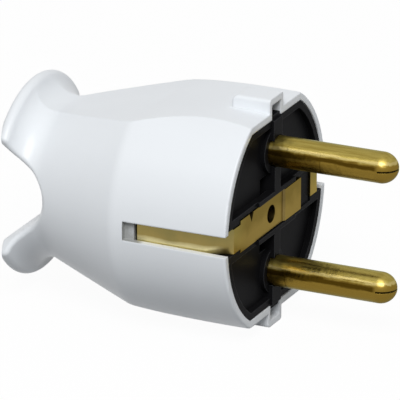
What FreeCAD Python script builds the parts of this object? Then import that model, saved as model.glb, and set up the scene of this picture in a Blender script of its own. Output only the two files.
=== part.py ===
import FreeCAD, Part
import math
import os

# Two-pin earthed plug, type F, for rewiring. Millimetres.
# X runs along the pins towards their tips, Y across, Z up through both pins.
# The origin is the centre of the mating face, midway between the pins.

# Pins
PIN_PITCH = 19.0
PIN_DIA = 4.8
PIN_REACH = 19.75
NOSE_LENGTH = 2.5
NOSE_FLAT = 0.7
NOSE_MID_X = 0.72
NOSE_MID_R = 0.68
SLIT_WIDTH = 0.28
SLIT_LENGTH = 2.4
HEAD_DIA = 7.4
HEAD_LENGTH = 9.2
HEAD_EDGE = 0.4
SEAT_DIA = 5.5
SEAT_SET = 0.9
PIN_FIT = 0.05
NECK_DIA = 4.4
NECK_OUT = 0.35
WIRE_BORE = 3.4
WIRE_DEPTH = 7.0
CLAMP_HOLE_BACK = 3.6

# Housing, outside
FACE_DIA = 36.48
SHOULDER_DRAFT = 0.24
SHOULDER_X = 19.0
SHOULDER_SOFT = 4.0
CONE_SLOPE = 0.375
FACE_EDGE = 0.3
HEAD_ROOM = 3.0
CREST_X = 6.2
FLAT_ARC = 50.0
FLAT_SLOPE = 0.186

# Finger ears
EAR_X = 39.3
EAR_INSET = 3.64
EAR_ROUND = 1.0
EAR_BLEND = 3.8
EAR_BACK = 2.3
EAR_DOME = 4.6
EAR_SIDE_INSET = 5.24
EAR_BOW = 38.0
SADDLE_X = 33.3
SADDLE_ROUND = 5.5
SADDLE_ANGLE = 35.0
SADDLE_TIP = 3.0
SADDLE_OVER = 0.4
SADDLE_SIDE = 3.2
SIDE_BEND = 20.0
SIDE_CLEAR = 0.05
EAR_SOFT = 0.6

# Housing, inside
WALL_FACE = 1.07
SEAT_X = 15.4
SEAT_LEDGE = 0.75
FLAT_WALL = 1.05
FLAT_DRAFT = 0.78
WALL_CONE = 1.9
CAVITY_END_X = 30.4
CORD_HOLE = 9.6
CORD_FLARE = 0.8

# Guide ribs on the flats
RIB_WIDTH = 4.7
RIB_RISE = 1.9
RIB_LENGTH = 6.4
RIB_WALL = 0.7
RIB_ROOF = 1.0
RIB_NOSE = 1.1
RIB_EDGE = 0.5
RIB_BITE = 0.2
RIB_CUT_DOWN = 3.21

# Side slots
SLOT_REAR = 2.94
SLOT_FRONT = 3.24
SLOT_END_X = 16.9
SLOT_FLOOR = 1.0

# Contact carrier
FIT = 0.15
CARRIER_LENGTH = 15.1
PLATE = 4.0
FACE_SET = 0.1
RIM = 1.0
POCKET = 0.95
PROUD = 0.3
BOSS_DIA = 7.0
BOSS_SET = 0.3
KEY_WEB = 3.0
MID_WEB = 2.0
SKIRT = 1.3
DECK = 4.4
DECK_WALL = 1.1
KEY_WIDTH = 2.7
KEY_RISE = 0.55
KEY_LENGTH = 3.7
HEAD_GAP = 0.35
SNAP_X = 11.0
SNAP_LENGTH = 1.4
SNAP_RISE = 0.35
SNAP_IN = 4.2
SNAP_OUT = 8.2
SNAP_FIT = 0.2
WELL_WIDTH = 2.6
WELL_LENGTH = 3.4
WELL_DEPTH = 2.2
WELL_UNDER = 0.9

# Earth strap
STRAP_THICK = 0.8
STRAP_WIDE = 5.0
STRAP_NARROW = 3.86
STRAP_TURN_INSET = 5.59
CORNER_INSET = 3.18
ARM_INSET = 1.49
ARM_KNEE_X = 4.0
ARM_END_X = 15.0
STRAP_HOLE = 2.8
HOLE_Y = -1.7
NOTCH_Y = -8.74
NOTCH_DEPTH = 1.45
NOTCH_HALF = 0.75
JOG_Y = 2.45
JOG = 0.3
DIP_LENGTH = 4.15
DIP_DEPTH = 2.2
CHANNEL_WALL = 0.7
CHANNEL_FIT = 0.15
CHANNEL_SEAT = 0.05
CHANNEL_ROOM = 0.2
CHANNEL_RAISED_END = 2.0
BRIDGE_GAP = 0.2
BRIDGE_SET = 0.3
KNEE_ROOM = 0.6

# Terminal and earth screws
SCREW_DIA = 3.0
SCREW_HEAD = 5.0
SCREW_HEAD_H = 1.6
SCREW_SLOT = 0.7
SLOT_SHARE = 0.5
SCREW_TIP = 0.4
SCREW_EASE = 0.1
SCREW_SET = 0.4
SCREW_SHOW = 0.3
COLLAR_WALL = 0.8
COLLAR_FIT = 0.2
EARTH_TIP_X = 2.4
EARTH_PLATE = 6.4
EARTH_PLATE_T = 1.2
WIRE_ROOM = 1.5
PLATE_LIP = 0.84

# Cord clamp
TRAY_INSET = 8.44
TRAY_START_X = 13.7
TRAY_END_X = 25.5
TRAY_THICK = 1.6
TRAY_EDGE = 1.2
TRAY_EDGE_H = 2.0
CLAMP_X = 21.5
CLAMP_BAR = 5.4
CLAMP_BAR_T = 1.6
CLAMP_ARCH = 2.0
CLAMP_SOFT = 2.1
CLAMP_SPAN = 13.0
CLAMP_GAP = 5.6
PILLAR_DIA = 5.0
CLAMP_SCREW = 2.9
SCREW_FIT = 0.15
NUT_FLATS = 5.5
NUT_H = 2.0
NUT_FIT = 0.05

X_AXIS = FreeCAD.Vector(1, 0, 0)
Y_AXIS = FreeCAD.Vector(0, 1, 0)
Z_AXIS = FreeCAD.Vector(0, 0, 1)
ORIGIN = FreeCAD.Vector(0, 0, 0)
FAR = 60.0
NEAR = 0.01
OVER = 1.0
ARC_IN = 1.0 - math.sqrt(0.5)
PIN_Z = PIN_PITCH / 2.0
FACE_R = FACE_DIA / 2.0
SHOULDER_R = FACE_R - SHOULDER_DRAFT
FLAT_CREST = PIN_Z + HEAD_DIA / 2.0 + HEAD_ROOM
RIB_CREST = FLAT_CREST + RIB_RISE
EAR_RING = FACE_R - EAR_INSET
EAR_SIDE = FACE_R - EAR_SIDE_INSET
STRAP_TURN_Y = FACE_R - STRAP_TURN_INSET
CORNER_Y = FACE_R - CORNER_INSET
ARM_Y = FACE_R - ARM_INSET
DIP_START = STRAP_TURN_Y - DIP_LENGTH
TRAY_HALF = FACE_R - TRAY_INSET


def vec(x, y, z):
    return FreeCAD.Vector(x, y, z)


def line(a, b):
    return Part.LineSegment(a, b).toShape()


def arc(a, mid, b):
    return Part.Arc(a, mid, b).toShape()


def face(edges):
    return Part.Face(Part.Wire(edges))


def polygon(points):
    closed = list(points) + [points[0]]
    return Part.Face(Part.makePolygon(closed))


def block(x0, x1, y0, y1, z0, z1):
    return Part.makeBox(x1 - x0, y1 - y0, z1 - z0, vec(x0, y0, z0))


def rod(radius, x0, x1, y=0.0, z=0.0):
    return Part.makeCylinder(radius, x1 - x0, vec(x0, y, z), X_AXIS)


def side_prism(points, half):
    flat = polygon([vec(x, -half, z) for x, z in points])
    return flat.extrude(vec(0, 2 * half, 0))


def spin(edges):
    return face(edges).revolve(ORIGIN, X_AXIS, 360)


def mirror_z(shape):
    return shape.mirror(ORIGIN, Z_AXIS)


def mirror_y(shape):
    return shape.mirror(ORIGIN, Y_AXIS)


def both(shape):
    return [shape, mirror_z(shape)]


def soften(shape, radius, chosen):
    edges = [e for e in shape.Edges if chosen(e)]
    return shape.makeFillet(radius, edges) if edges else shape


def outer_radius(x):
    # Radius of the round outside at a distance x behind the face.
    if x <= SHOULDER_X:
        return FACE_R - SHOULDER_DRAFT * x / SHOULDER_X
    return SHOULDER_R - CONE_SLOPE * (x - SHOULDER_X)


def flat_height(x):
    # Height of the flats: one long arc over the front, a straight slope behind.
    if x <= SHOULDER_X:
        return FLAT_CREST - FLAT_ARC + math.sqrt(FLAT_ARC ** 2 - (x - CREST_X) ** 2)
    return flat_height(SHOULDER_X) - FLAT_SLOPE * (x - SHOULDER_X)


def tangent_arc(corner, a, b, radius):
    # Arc that rounds the corner between the directions to a and to b.
    da = (a - corner).normalize()
    db = (b - corner).normalize()
    half = math.acos(max(-1.0, min(1.0, da.dot(db)))) / 2.0
    reach = radius / math.tan(half)
    bisector = (da + db).normalize()
    middle = corner + bisector * (radius / math.sin(half) - radius)
    return corner + da * reach, middle, corner + db * reach


def blend_centre(start, run, normal, ring):
    # Centre of the blend between a straight run and the round of the ear: beside
    # the run by the blend's own radius, and outside the ring by the same.
    start = start + normal * EAR_BLEND
    gap = start - ring
    along = gap.dot(run)
    rest = gap.dot(gap) - (EAR_ROUND + EAR_BLEND) ** 2
    return start + run * (-along - math.sqrt(along ** 2 - rest))


def ear_profile():
    # Half outline of the outside in the X, radius plane, spun round the axis:
    # front edge, body, shoulder, neck, flare, thin lip and domed back of the ears.
    front_in = vec(0, outer_radius(0) - FACE_EDGE, 0)
    front_out = vec(-FACE_EDGE, outer_radius(FACE_EDGE), 0)
    edge_mid = vec(-FACE_EDGE * ARC_IN, outer_radius(0) - FACE_EDGE * ARC_IN, 0)
    corner = vec(-SHOULDER_X, SHOULDER_R, 0)
    cone_dir = vec(-1, -CONE_SLOPE, 0).normalize()
    s0, s1, s2 = tangent_arc(corner, front_out, corner + cone_dir, SHOULDER_SOFT)
    ring = vec(-EAR_X, EAR_RING, 0)
    normal = vec(cone_dir.y, -cone_dir.x, 0)
    centre = blend_centre(corner, cone_dir, normal, ring)
    foot = centre - normal * EAR_BLEND
    to_ring = (ring - centre).normalize()
    touch = centre + to_ring * EAR_BLEND
    mid = centre + (to_ring - normal).normalize() * EAR_BLEND
    dome = (EAR_BACK ** 2 + EAR_DOME ** 2 - EAR_ROUND ** 2) / (2 * (EAR_BACK - EAR_ROUND))
    back = vec(-EAR_X - EAR_BACK, EAR_RING - EAR_DOME, 0)
    hub = vec(back.x + dome, back.y, 0)
    leave = (ring - hub).normalize()
    lip_end = ring + leave * EAR_ROUND
    lip_mid = ring + (leave - to_ring).normalize() * EAR_ROUND
    dome_mid = hub + (leave + vec(-1, 0, 0)).normalize() * dome
    axis = vec(back.x, 0, 0)
    return [line(ORIGIN, front_in), arc(front_in, edge_mid, front_out), line(front_out, s0),
            arc(s0, s1, s2), line(s2, foot), arc(foot, mid, touch), arc(touch, lip_mid, lip_end),
            arc(lip_end, dome_mid, back), line(back, axis), line(axis, ORIGIN)]


def flat_cutter():
    # What the upper flat takes away, seen from the side and run across.
    # Behind the slope a blend runs up to the ear and leaves it along its tangent.
    over = FACE_EDGE
    a = vec(over, -FAR, flat_height(-over))
    b = vec(-SHOULDER_X / 2, -FAR, flat_height(SHOULDER_X / 2))
    c = vec(-SHOULDER_X, -FAR, flat_height(SHOULDER_X))
    start = vec(c.x, 0, c.z)
    slope = vec(-1, 0, -FLAT_SLOPE).normalize()
    normal = vec(slope.z, 0, -slope.x)
    ring = vec(-EAR_X, 0, EAR_RING)
    centre = blend_centre(start, slope, normal, ring)
    to_ring = (ring - centre).normalize()
    down = vec(0, -FAR, 0)
    foot = centre - normal * EAR_BLEND + down
    mid = centre + (to_ring - normal).normalize() * EAR_BLEND + down
    touch = centre + to_ring * EAR_BLEND + down
    rise = vec(to_ring.z, 0, -to_ring.x)
    e = touch + rise * FAR
    f = vec(over, -FAR, FAR)
    sheet = face([arc(a, b, c), line(c, foot), arc(foot, mid, touch), line(touch, e),
                  line(e, f), line(f, a)])
    return sheet.extrude(vec(0, 2 * FAR, 0))


def saddle_sheet():
    # Side view of the notch between the two ears: round bottom, straight slopes, and
    # round tips that leave the backs of the ears upright.
    lean = math.radians(SADDLE_ANGLE)
    bottom = vec(-SADDLE_X, 0, 0)
    centre_x = bottom.x - SADDLE_ROUND
    a = vec(centre_x + SADDLE_ROUND * math.sin(lean), 0, SADDLE_ROUND * math.cos(lean))
    back_x = -EAR_X - EAR_BACK - SADDLE_OVER
    b_x = back_x + SADDLE_TIP * (1.0 - math.sin(lean))
    b = vec(b_x, 0, a.z + (a.x - b_x) * math.tan(lean))
    hub = b + vec(math.sin(lean), 0, math.cos(lean)) * SADDLE_TIP
    half = (math.pi / 2 + lean) / 2.0
    mid = hub + vec(-math.sin(half), 0, -math.cos(half)) * SADDLE_TIP
    end = vec(back_x, 0, hub.z)
    top = vec(back_x, 0, FAR)
    back = vec(-FAR, 0, FAR)

    def low(p):
        return vec(p.x, 0, -p.z)

    return face([arc(low(a), bottom, a), line(a, b), arc(b, mid, end), line(end, top),
                 line(top, back), line(back, low(back)), line(low(back), low(top)),
                 line(low(top), low(end)), arc(low(end), low(mid), low(b)), line(low(b), low(a))])


def edge_middle(edge):
    return edge.valueAt((edge.FirstParameter + edge.LastParameter) / 2)


def on_skin(edge, solid):
    return Part.Vertex(edge_middle(edge)).distToShape(solid.Shells[0])[0] < NEAR


def ear_blank():
    # Room for the outside: just clear of the cone, then straight along the sides of
    # the ears, with the notch cut across and well rounded into both sides.
    clear = SIDE_CLEAR * math.sqrt(1.0 + CONE_SLOPE ** 2)
    turn_x = -SHOULDER_X - (SHOULDER_R + clear - EAR_SIDE) / CONE_SLOPE
    corner = vec(turn_x, EAR_SIDE, 0)
    front = vec(SHOULDER_X, EAR_SIDE + (SHOULDER_X - turn_x) * CONE_SLOPE, 0)
    back = vec(-FAR, EAR_SIDE, 0)
    s0, s1, s2 = tangent_arc(corner, front, back, SIDE_BEND)

    def near(p):
        return vec(p.x, -p.y, 0)

    outline = face([line(front, s0), arc(s0, s1, s2), line(s2, back), line(back, near(back)),
                    line(near(back), near(s2)), arc(near(s2), near(s1), near(s0)),
                    line(near(s0), near(front)), line(near(front), front)])
    outline.translate(vec(0, 0, -FAR))
    blank = outline.extrude(vec(0, 0, 2 * FAR))
    sheet = saddle_sheet()
    sheet.translate(vec(0, -FAR, 0))
    notch = sheet.extrude(vec(0, 2 * FAR, 0))

    def across(edge):
        return on_skin(edge, notch) and abs(edge_middle(edge).y) > EAR_SIDE / 2

    return soften(blank.cut(notch), SADDLE_SIDE, across)


def back_bow():
    # Seen from above the backs of the ears are bowed.
    hub = vec(EAR_BOW - EAR_X - EAR_BACK - SIDE_CLEAR, 0, -FAR)
    return Part.makeCylinder(EAR_BOW, 2 * FAR, hub)


def inner_flat(x):
    # Half height between the inner flats at a distance x behind the face.
    front = flat_height(0) - FLAT_WALL
    if x <= SEAT_X:
        return front - FLAT_DRAFT * x / SEAT_X
    ledge = front - FLAT_DRAFT - SEAT_LEDGE
    return ledge - FLAT_SLOPE * (x - SEAT_X)


def inner_radius(x):
    # Radius inside the front bay at a distance x behind the face.
    wall = WALL_FACE if x <= SEAT_X else WALL_FACE + SEAT_LEDGE
    return outer_radius(x) - wall


def cavity():
    # The hollow inside: a straight front bay, a seat ledge, then a cone.
    bend_x = SHOULDER_X - SEAT_LEDGE
    end_r = outer_radius(CAVITY_END_X) - WALL_CONE / math.cos(math.atan(CONE_SLOPE))
    deep = CAVITY_END_X
    round_points = [(0, 0), (0, inner_radius(0)), (-SEAT_X, inner_radius(SEAT_X)),
                    (-SEAT_X, inner_radius(SEAT_X + NEAR)), (-bend_x, inner_radius(bend_x)),
                    (-deep, end_r), (-deep, 0)]
    spun = polygon([vec(x, r, 0) for x, r in round_points]).revolve(ORIGIN, X_AXIS, 360)
    upper = [(0, inner_flat(0)), (-SEAT_X, inner_flat(SEAT_X)),
             (-SEAT_X, inner_flat(SEAT_X + NEAR)), (-deep, inner_flat(deep))]
    lower = [(x, -z) for x, z in reversed(upper)]
    return spun.common(side_prism(upper + lower, FAR))


def rib_solid():
    # Raised guide rib on the upper flat, round at its rear end.
    base = inner_flat(RIB_LENGTH) + RIB_BITE
    a = vec(0, -RIB_WIDTH / 2, base)
    b = vec(0, -RIB_WIDTH / 2, RIB_CREST)
    c = vec(-RIB_LENGTH + RIB_NOSE, -RIB_WIDTH / 2, RIB_CREST)
    d = vec(-RIB_LENGTH, -RIB_WIDTH / 2, RIB_CREST - RIB_NOSE)
    mid = vec(-RIB_LENGTH + RIB_NOSE * ARC_IN, -RIB_WIDTH / 2, RIB_CREST - RIB_NOSE * ARC_IN)
    e = vec(-RIB_LENGTH, -RIB_WIDTH / 2, base)
    sheet = face([line(a, b), line(b, c), arc(c, mid, d), line(d, e), line(e, a)])
    rib = sheet.extrude(vec(0, RIB_WIDTH, 0))

    def outer(edge):
        middle = edge_middle(edge)
        at_side = abs(abs(middle.y) - RIB_WIDTH / 2) < NEAR
        return at_side and middle.x < -NEAR and middle.z > base + NEAR

    return soften(rib, RIB_EDGE, outer)


def rib_channel():
    half = RIB_WIDTH / 2 - RIB_WALL
    return block(-RIB_LENGTH + RIB_WALL + RIB_ROOF, FAR, -half, half,
                 inner_flat(0) - RIB_CUT_DOWN, RIB_CREST - RIB_ROOF)


def slot_cutters():
    # Window through the side wall, open to the front, with a blind rear end.
    rear, front = SLOT_REAR / 2, SLOT_FRONT / 2
    window = [(-SEAT_X, -rear), (0, -front), (OVER, -front), (OVER, front), (0, front),
              (-SEAT_X, rear)]
    through = polygon([vec(x, -FAR, z) for x, z in window])
    through = through.extrude(vec(0, FAR - inner_radius(0) / 2, 0))
    blind = block(-SLOT_END_X, -SEAT_X + NEAR, -FAR, -outer_radius(SLOT_END_X) + SLOT_FLOOR,
                  -rear, rear)
    return [through, blind, mirror_y(through), mirror_y(blind)]


def housing():
    body = spin(ear_profile())
    for tool in both(flat_cutter()):
        body = body.cut(tool)
    blank = ear_blank()
    round_body = body
    body = body.common(blank)

    def on_ear(edge):
        return on_skin(edge, blank) and on_skin(edge, round_body)

    body = soften(body, EAR_SOFT, on_ear).common(back_bow())
    for rib in both(rib_solid()):
        body = body.fuse(rib)
    body = body.cut(cavity())
    for tool in both(rib_channel()) + slot_cutters() + snap_ridges(SNAP_FIT):
        body = body.cut(tool)
    hole = CORD_HOLE / 2
    body = body.cut(rod(hole, -CAVITY_END_X - FAR, 0))
    flare = Part.makeCone(hole + CORD_FLARE, hole, CORD_FLARE,
                          vec(-CAVITY_END_X, 0, 0), vec(-1, 0, 0))
    return body.cut(flare).removeSplitter()


def snap_ridges(grow):
    # Low ridges on the carrier's flats; grown a little, the grooves they click into.
    seat = inner_flat(SNAP_X) - FIT
    base = seat - SKIRT / 2
    half = SNAP_LENGTH / 2 + grow
    rise = SNAP_RISE + grow
    slope = SNAP_RISE
    points = [(-SNAP_X - half, base), (-SNAP_X - half, seat), (-SNAP_X - half + slope, seat + rise),
              (-SNAP_X + half - slope, seat + rise), (-SNAP_X + half, seat), (-SNAP_X + half, base)]
    out = []
    for y0, y1 in ((SNAP_IN, SNAP_OUT), (-SNAP_OUT, -SNAP_IN)):
        flat = polygon([vec(x, y0 - grow, z) for x, z in points])
        out += both(flat.extrude(vec(0, y1 - y0 + 2 * grow, 0)))
    return out


def carrier_blank(grow, start, stop, shrink=0.0):
    # Outline of the carrier between two depths, as it fits in the front bay.
    spun = polygon([vec(-start, 0, 0), vec(-start, inner_radius(start) - grow, 0),
                    vec(-stop, inner_radius(stop) - grow - shrink, 0),
                    vec(-stop, 0, 0)]).revolve(ORIGIN, X_AXIS, 360)
    upper = [(-start, inner_flat(start) - grow), (-stop, inner_flat(stop) - grow - shrink)]
    lower = [(x, -z) for x, z in reversed(upper)]
    return spun.common(side_prism(upper + lower, FAR))


def strap_channel_depth():
    return STRAP_THICK + CHANNEL_SEAT


def carrier():
    front = FACE_SET
    blank = carrier_blank(FIT, front, CARRIER_LENGTH)
    raised = []
    web_top = inner_flat(0) - FIT
    for sign in (1, -1):
        boss = rod(BOSS_DIA / 2, -POCKET - front, -BOSS_SET, 0, sign * PIN_Z)
        lo, hi = sorted((sign * PIN_Z, sign * web_top))
        key = block(-POCKET - front, PROUD, -KEY_WEB / 2, KEY_WEB / 2, lo, hi)
        lo, hi = sorted((0, sign * PIN_Z))
        mid = block(-POCKET - front, PROUD, -MID_WEB / 2, MID_WEB / 2, lo, hi)
        raised += [boss, key, mid]
    wall_z = STRAP_WIDE / 2 + CHANNEL_FIT + CHANNEL_WALL
    wall_y = DIP_START - CHANNEL_RAISED_END
    raised.append(block(-POCKET - front, PROUD, -wall_y, wall_y, -wall_z, wall_z))
    low_wall = block(-POCKET - front, -front, -FAR, FAR, -wall_z, wall_z)
    pocket = carrier_blank(FIT + RIM, 0, front + POCKET).cut(low_wall)
    body = blank.cut(pocket)
    for piece in raised:
        body = body.fuse(piece)
    # Rear bays: two terminal bays and the earth bay between them.
    bays = carrier_blank(FIT + SKIRT, PLATE, CARRIER_LENGTH + OVER)
    for sign in (1, -1):
        lo, hi = sorted((sign * DECK, sign * (DECK + DECK_WALL)))
        bays = bays.cut(block(-FAR, 0, -FAR, FAR, lo, hi))
    arm_floor = ARM_Y - STRAP_THICK - CHANNEL_ROOM
    for sign in (1, -1):
        lo, hi = sorted((sign * (arm_floor - SKIRT), sign * FAR))
        bays = bays.cut(block(-FAR, 0, lo, hi, -DECK, DECK))
    body = body.cut(bays)
    # Channel for the strap across the face and grooves for its arms.
    depth = strap_channel_depth()
    half = STRAP_WIDE / 2 + CHANNEL_FIT
    narrow = STRAP_NARROW / 2 + CHANNEL_FIT
    turn = STRAP_TURN_Y + CHANNEL_FIT
    body = body.cut(block(-depth, FAR, -turn, turn, -half, half))
    body = body.cut(block(-depth, FAR, -FAR, FAR, -narrow, narrow))
    for sign in (1, -1):
        lo, hi = sorted((sign * arm_floor, sign * FAR))
        body = body.cut(block(-FAR, FAR, lo, hi, -narrow, narrow))
        knee = [vec(-depth, sign * (CORNER_Y - STRAP_THICK - KNEE_ROOM), -narrow),
                vec(-depth, sign * FAR, -narrow),
                vec(-ARM_KNEE_X, sign * FAR, -narrow),
                vec(-ARM_KNEE_X, sign * arm_floor, -narrow)]
        body = body.cut(polygon(knee).extrude(vec(0, 0, 2 * narrow)))
    # The strap dips under a bridge that is moulded across its channel.
    floor = -DIP_DEPTH - STRAP_THICK - CHANNEL_ROOM
    body = body.cut(block(floor, FAR, DIP_START - STRAP_THICK - CHANNEL_ROOM, turn, -half, half))
    body = body.cut(block(floor, FAR, DIP_START,
                          STRAP_TURN_Y + STRAP_THICK + CHANNEL_ROOM, -narrow, narrow))
    body = body.fuse(block(-DIP_DEPTH + BRIDGE_GAP, -BRIDGE_SET, DIP_START + BRIDGE_GAP,
                           STRAP_TURN_Y - BRIDGE_GAP, -half - CHANNEL_WALL, half + CHANNEL_WALL))
    # Wells beside the webs, and the holes for the pins and the earth screw.
    for sign in (1, -1):
        well_z = sign * (wall_z + WELL_LENGTH / 2 - WELL_UNDER)
        for side in (1, -1):
            cy = side * (MID_WEB + WELL_WIDTH) / 2
            lo = well_z - WELL_LENGTH / 2
            well = block(-WELL_DEPTH, FAR, cy - WELL_WIDTH / 2, cy + WELL_WIDTH / 2,
                         lo, lo + WELL_LENGTH)
            keep = block(-POCKET - front, FAR, -FAR, FAR, -wall_z, wall_z)
            boss = rod(BOSS_DIA / 2, -WELL_DEPTH - OVER, FAR, 0, sign * PIN_Z)
            body = body.cut(well.cut(keep).cut(boss))
        body = body.cut(rod(PIN_DIA / 2 + PIN_FIT, -PLATE - OVER, FAR, 0, sign * PIN_Z))
        body = body.cut(rod(SEAT_DIA / 2 + PIN_FIT, -PLATE - OVER, -SEAT_SET, 0, sign * PIN_Z))
    well = STRAP_HOLE / 2 + COLLAR_WALL + COLLAR_FIT
    body = body.cut(rod(well, -PLATE - OVER, FAR, HOLE_Y, 0))
    # Slots in the skirt over the terminal heads, and keys that run in the ribs.
    root = inner_flat(KEY_LENGTH) - FIT - SKIRT
    for sign in (1, -1):
        lo, hi = sorted((sign * DECK, sign * FAR))
        half_gap = HEAD_DIA / 2 + HEAD_GAP
        body = body.cut(block(-FAR, -PLATE, -half_gap, half_gap, lo, hi).cut(
            block(-FAR, FAR, -FAR, FAR, -DECK - DECK_WALL, DECK + DECK_WALL)))
    key = block(-KEY_LENGTH, -FACE_SET, -KEY_WIDTH / 2, KEY_WIDTH / 2, root,
                inner_flat(0) + KEY_RISE)
    for piece in both(key) + snap_ridges(0.0):
        body = body.fuse(piece)
    # Tray for the cord behind the lower deck, with raised edges and two pillars.
    low = -DECK - TRAY_THICK
    wide = TRAY_HALF
    tray = block(-TRAY_END_X, -TRAY_START_X, -wide, wide, low, -DECK)
    for sign in (1, -1):
        y = sign * CLAMP_SPAN / 2
        lo, hi = sorted((sign * wide, sign * (wide - TRAY_EDGE)))
        tray = tray.fuse(block(-TRAY_END_X, -TRAY_START_X, lo, hi, low, -DECK + TRAY_EDGE_H))
        pillar = Part.makeCylinder(PILLAR_DIA / 2, CLAMP_GAP + TRAY_THICK, vec(-CLAMP_X, y, low))
        hole = Part.makeCylinder(CLAMP_SCREW / 2 + SCREW_FIT, FAR, vec(-CLAMP_X, y, -FAR / 2))
        tray = tray.fuse(pillar).cut(hole)
    return body.fuse(tray).removeSplitter()


def pin(z):
    # Turned in one piece: terminal head, seat collar, thin neck, shank and domed nose.
    r = PIN_DIA / 2
    nose = PIN_REACH - NOSE_LENGTH
    seat = -PLATE
    back = seat - HEAD_LENGTH
    head = HEAD_DIA / 2
    mid = vec(nose + NOSE_LENGTH * NOSE_MID_X, r * NOSE_MID_R, 0)
    collar = SEAT_DIA / 2
    neck = NECK_DIA / 2
    step = -SEAT_SET - PIN_FIT
    edges = [line(vec(back, 0, 0), vec(back, head - HEAD_EDGE, 0)),
             line(vec(back, head - HEAD_EDGE, 0), vec(back + HEAD_EDGE, head, 0)),
             line(vec(back + HEAD_EDGE, head, 0), vec(seat, head, 0)),
             line(vec(seat, head, 0), vec(seat, collar, 0)),
             line(vec(seat, collar, 0), vec(step, collar, 0)),
             line(vec(step, collar, 0), vec(step, neck, 0)),
             line(vec(step, neck, 0), vec(NECK_OUT, neck, 0)),
             line(vec(NECK_OUT, neck, 0), vec(NECK_OUT, r, 0)),
             line(vec(NECK_OUT, r, 0), vec(nose, r, 0)),
             arc(vec(nose, r, 0), mid, vec(PIN_REACH, NOSE_FLAT / 2, 0)),
             line(vec(PIN_REACH, NOSE_FLAT / 2, 0), vec(PIN_REACH, 0, 0)),
             line(vec(PIN_REACH, 0, 0), vec(back, 0, 0))]
    body = spin(edges)
    slit = block(PIN_REACH - SLIT_LENGTH, FAR, -FAR, FAR, -SLIT_WIDTH / 2, SLIT_WIDTH / 2)
    body = body.cut(slit)
    body = body.cut(rod(WIRE_BORE / 2, back - OVER, back + WIRE_DEPTH))
    screw_x = back + CLAMP_HOLE_BACK
    tapped = Part.makeCylinder(SCREW_DIA / 2, FAR, vec(screw_x, 0, 0), vec(0, -1, 0))
    body = body.cut(tapped)
    body.translate(vec(0, 0, z))
    return body


def slotted_screw(length, dia, head, head_h):
    # Stands on its tip at the origin, head up along Z.
    tip = Part.makeCone(dia / 2 - SCREW_TIP, dia / 2, SCREW_TIP, ORIGIN, Z_AXIS)
    shank = Part.makeCylinder(dia / 2, length - SCREW_TIP, vec(0, 0, SCREW_TIP), Z_AXIS)
    top = Part.makeCylinder(head / 2, head_h, vec(0, 0, length), Z_AXIS)
    slot = block(-head, head, -SCREW_SLOT / 2, SCREW_SLOT / 2,
                 length + head_h * SLOT_SHARE, length + FAR)
    return tip.fuse(shank).fuse(top).cut(slot).removeSplitter()


def terminal_screws():
    out = []
    x = -PLATE - HEAD_LENGTH + CLAMP_HOLE_BACK
    length = HEAD_DIA / 2 + SCREW_SHOW - SCREW_SET
    for sign in (1, -1):
        s = slotted_screw(length, SCREW_DIA - SCREW_EASE, SCREW_HEAD, SCREW_HEAD_H)
        s.rotate(ORIGIN, X_AXIS, 90)
        s.translate(vec(x, -SCREW_SET, sign * PIN_Z))
        out.append(s)
    return Part.makeCompound(out)


def strap_path():
    # Outer face of the strap seen from above, near side to far side.
    return [(-ARM_END_X, -ARM_Y), (-ARM_KNEE_X, -ARM_Y), (0, -CORNER_Y), (0, JOG_Y),
            (JOG, JOG_Y + JOG), (JOG, DIP_START), (-DIP_DEPTH, DIP_START),
            (-DIP_DEPTH, STRAP_TURN_Y), (0, STRAP_TURN_Y), (0, CORNER_Y),
            (-ARM_KNEE_X, ARM_Y), (-ARM_END_X, ARM_Y)]


def offset_path(points, gap):
    # Moves an open run of points inwards by one thickness, corner by corner.
    out = []
    n = len(points)
    for i, (x, y) in enumerate(points):
        dirs = []
        for a, b in ((i - 1, i), (i, i + 1)):
            if 0 <= a and b < n:
                dx, dy = points[b][0] - points[a][0], points[b][1] - points[a][1]
                size = math.hypot(dx, dy)
                dirs.append((dx / size, dy / size))
        nx = sum(-d[1] for d in dirs)
        ny = sum(d[0] for d in dirs)
        size = math.hypot(nx, ny)
        nx, ny = nx / size, ny / size
        lead = dirs[0]
        scale = gap / (nx * -lead[1] + ny * lead[0])
        out.append((x + nx * scale, y + ny * scale))
    return out


def strap():
    outer = strap_path()
    inner = offset_path(outer, STRAP_THICK)
    ring = outer + list(reversed(inner))
    half = STRAP_WIDE / 2
    sheet = polygon([vec(x, y, -half) for x, y in ring])
    body = sheet.extrude(vec(0, 0, STRAP_WIDE))
    narrow = STRAP_NARROW / 2
    for sign in (1, -1):
        lo, hi = sorted((sign * STRAP_TURN_Y, sign * FAR))
        body = body.cut(block(-FAR, FAR, lo, hi, narrow, FAR))
        body = body.cut(block(-FAR, FAR, lo, hi, -FAR, -narrow))
    notch = polygon([vec(-FAR, NOTCH_Y - NOTCH_HALF, half), vec(-FAR, NOTCH_Y, half - NOTCH_DEPTH),
                     vec(-FAR, NOTCH_Y + NOTCH_HALF, half), vec(-FAR, NOTCH_Y, half + OVER)])
    body = body.cut(notch.extrude(vec(2 * FAR, 0, 0)))
    collar = rod(STRAP_HOLE / 2 + COLLAR_WALL, -PLATE + COLLAR_FIT, -STRAP_THICK / 2, HOLE_Y, 0)
    body = body.fuse(collar)
    body = body.cut(rod(STRAP_HOLE / 2, -FAR, FAR, HOLE_Y, 0))
    return body.removeSplitter()


def earth_plate_x():
    return PLATE + WIRE_ROOM + EARTH_PLATE_T


def earth_screw():
    length = earth_plate_x() - EARTH_TIP_X
    s = slotted_screw(length, STRAP_HOLE - SCREW_EASE, SCREW_HEAD, SCREW_HEAD_H)
    s.rotate(ORIGIN, Y_AXIS, -90)
    s.translate(vec(-EARTH_TIP_X, HOLE_Y, 0))
    return s


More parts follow.
